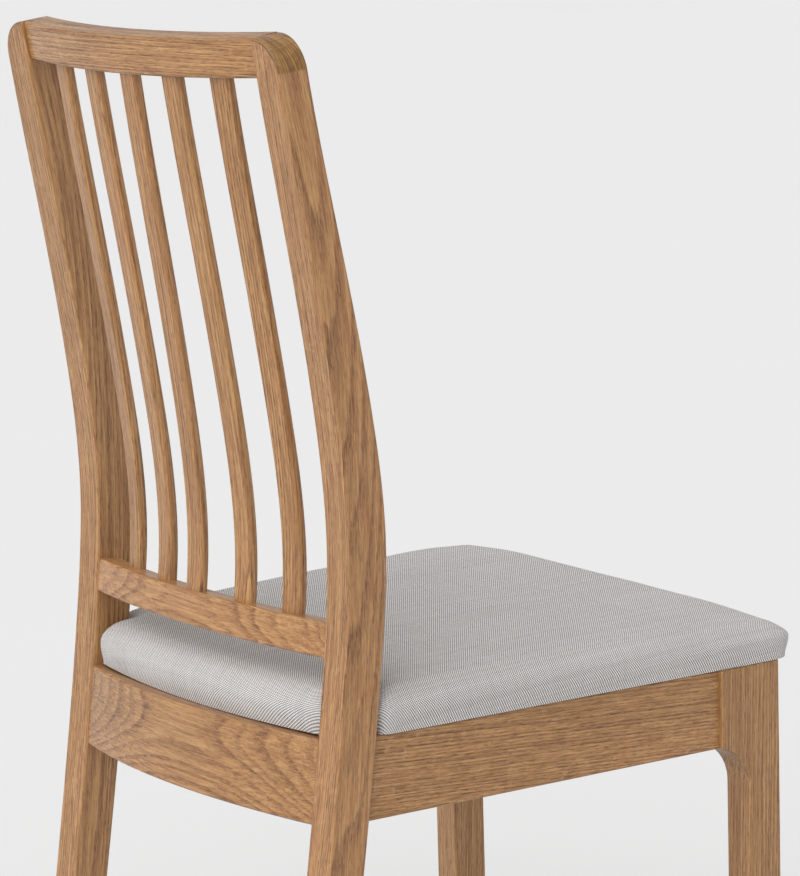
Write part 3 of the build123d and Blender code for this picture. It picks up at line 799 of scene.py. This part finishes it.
# ---- the dust cloth ------------------------------------------------------------------------------
def dust_sheet():
    """Black cloth stretched under the board, hanging a little in its middle."""
    outline = np.array(pad_outline(SHEET_INSET))
    shape = bmesh.new()
    shape.faces.new([shape.verts.new((x, y, 0.0)) for x, y in outline])
    low, high = outline.min(0), outline.max(0)
    for axis, normal in ((0, (1, 0, 0)), (1, (0, 1, 0))):
        for place in np.arange(low[axis] + SHEET_CELL * 0.75, high[axis] - SHEET_CELL * 0.375, SHEET_CELL):
            cut_at = [0.0, 0.0, 0.0]
            cut_at[axis] = place
            bmesh.ops.bisect_plane(shape, geom=shape.verts[:] + shape.edges[:] + shape.faces[:],
                                   plane_co=cut_at, plane_no=normal)
    for vertex in shape.verts:
        x, y = vertex.co.x / SHEET_HALF, (vertex.co.y - SHEET_MIDDLE_Y) / SHEET_HALF
        hang = max(0.0, 1 - x * x) ** 2 * max(0.0, 1 - y * y) ** 2
        stray = WAVE_SWAY * math.sin(vertex.co.y * SHEET_WAVES[1])
        ripple = SHEET_RIPPLE * math.sin(vertex.co.x * SHEET_WAVES[0] + stray)
        vertex.co.z = SHEET_LEVEL - SHEET_SAG * hang + ripple * hang
    bmesh.ops.recalc_face_normals(shape, faces=shape.faces)
    mesh = bpy.data.meshes.new("dust_sheet")
    shape.to_mesh(mesh)
    shape.free()
    sheet = bpy.data.objects.new("dust_sheet", mesh)
    bpy.context.scene.collection.objects.link(sheet)
    thick = sheet.modifiers.new("thick", "SOLIDIFY")
    thick.thickness, thick.offset = SHEET_THICK, 0.0
    apply_modifiers(sheet)
    sheet.data.transform(SEAT_AXES)
    sheet.data.polygons.foreach_set("use_smooth", [True] * len(sheet.data.polygons))
    paint(sheet, spunbonded())
    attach(sheet, "root")
    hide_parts("dust_cloth")


# ---- stage ---------------------------------------------------------------------------------------
def stage():
    """Floor, sky, one soft sun and the camera."""
    shape = bpy.data.meshes.new("floor")
    half = FLOOR_SIZE / 2
    corners = [(-half, -half, 0), (half, -half, 0), (half, half, 0), (-half, half, 0)]
    shape.from_pydata(corners, [], [(0, 1, 2, 3)])
    floor = bpy.data.objects.new("floor", shape)
    bpy.context.scene.collection.objects.link(floor)
    paint(floor, floor_material())

    world = bpy.data.worlds.new("studio")
    world.use_nodes = True
    background = world.node_tree.nodes["Background"]
    background.inputs["Color"].default_value = (1.0, 1.0, 1.0, 1.0)
    background.inputs["Strength"].default_value = SKY_STRENGTH
    bpy.context.scene.world = world

    light = bpy.data.lights.new("sun", "SUN")
    light.energy = SUN_STRENGTH
    light.angle = math.radians(SUN_ANGLE)
    lamp = bpy.data.objects.new("sun", light)
    lamp.rotation_euler = Vector(SUN_FROM).to_track_quat("Z", "Y").to_euler()
    bpy.context.scene.collection.objects.link(lamp)

    lens = bpy.data.cameras.new("camera")
    lens.lens = LENS
    lens.clip_end = VIEW_END
    camera = bpy.data.objects.new("camera", lens)
    heading, drop = math.radians(CAMERA_HEADING), math.radians(CAMERA_DROP)
    level = math.cos(drop)
    forward = Vector((math.sin(heading) * level, -math.cos(heading) * level, -math.sin(drop)))
    camera.location = CAMERA_PLACE
    camera.rotation_euler = forward.to_track_quat("-Z", "Y").to_euler()
    bpy.context.scene.collection.objects.link(camera)
    bpy.context.scene.camera = camera
    bpy.context.scene.view_settings.view_transform = "Standard"


# ---- the chair -----------------------------------------------------------------------------------
def finishes():
    """A material for every CAD node that stays."""
    tree = oak_group()
    post = dict(figure=0.9, bend=1, follow=0.7, end=POST_END)
    oak(tree, "rear_post_right", "Z", pith=(64, 12), tilt=(0.4, 1.5), spacing=2.7, seed=3.1, red=0.10,
        **post)
    oak(tree, "rear_post_left", "Z", pith=(-58, 20), tilt=(0.6, -1.2), spacing=2.9, seed=8.4, tone=0.98,
        red=0.05, **post)
    oak(tree, "front_leg_right", "Z", pith=(50, 70), tilt=(0.6, 0.9), spacing=2.6, seed=12.7, tone=0.88,
        figure=0.9, end=LEG_END)
    oak(tree, "front_leg_left", "Z", pith=(-66, 40), tilt=(0.4, 0.7), spacing=2.8, seed=17.2, tone=1.08,
        figure=0.9, end=LEG_END)
    oak(tree, "crest_rail", "X", pith=(14, -150), tilt=(0.5, 0.35), spacing=2.5, seed=21.9, bend=1,
        follow=0.8)
    oak(tree, "lower_back_rail", "X", pith=(-62, 8), tilt=(0.9, 1.0), spacing=3.6, seed=26.3, red=0.12,
        figure=0.8)
    oak(tree, "rear_apron", "X", pith=(-74, 14), tilt=(0.6, -0.8), spacing=3.9, seed=31.8, tone=0.92,
        red=0.08, figure=0.85)
    oak(tree, "front_apron", "X", pith=(70, -12), tilt=(0.5, 0.7), spacing=3.6, seed=36.1, tone=0.98,
        red=0.05, figure=0.85)
    oak(tree, "side_apron_right", "Y", pith=(20, -170), tilt=(0.5, 0.2), spacing=2.9, seed=41.5, tone=0.96)
    oak(tree, "side_apron_left", "Y", pith=(-20, -160), tilt=(-0.6, 0.3), spacing=3.0, seed=46.6, tone=0.96)
    piths = ((52, 40), (-38, 58), (60, -24), (-55, 44), (46, 52))
    for i, pith in enumerate(piths):
        oak(tree, f"slat_{i + 1}", "Z", pith=pith, tilt=(0.5 - 0.2 * i, 0.3 + 0.15 * i), spacing=2.5,
            seed=52.3 + 5.9 * i, tone=1.0 + 0.02 * ((i * 2) % 3 - 1), red=0.04 * (i % 3), figure=0.95,
            bend=1, follow=0.9)

    plain = {"beech": beech(), "plywood": plywood(), "zinc_steel": zinc(), "glide_nylon": nylon()}
    for part in frame["record"]["subparts"]:
        material = plain.get(part["material_slot"])
        if material:
            paint(frame["nodes"][part["node"]], material)


stage()
finishes()
seat_pad()
dust_sheet()
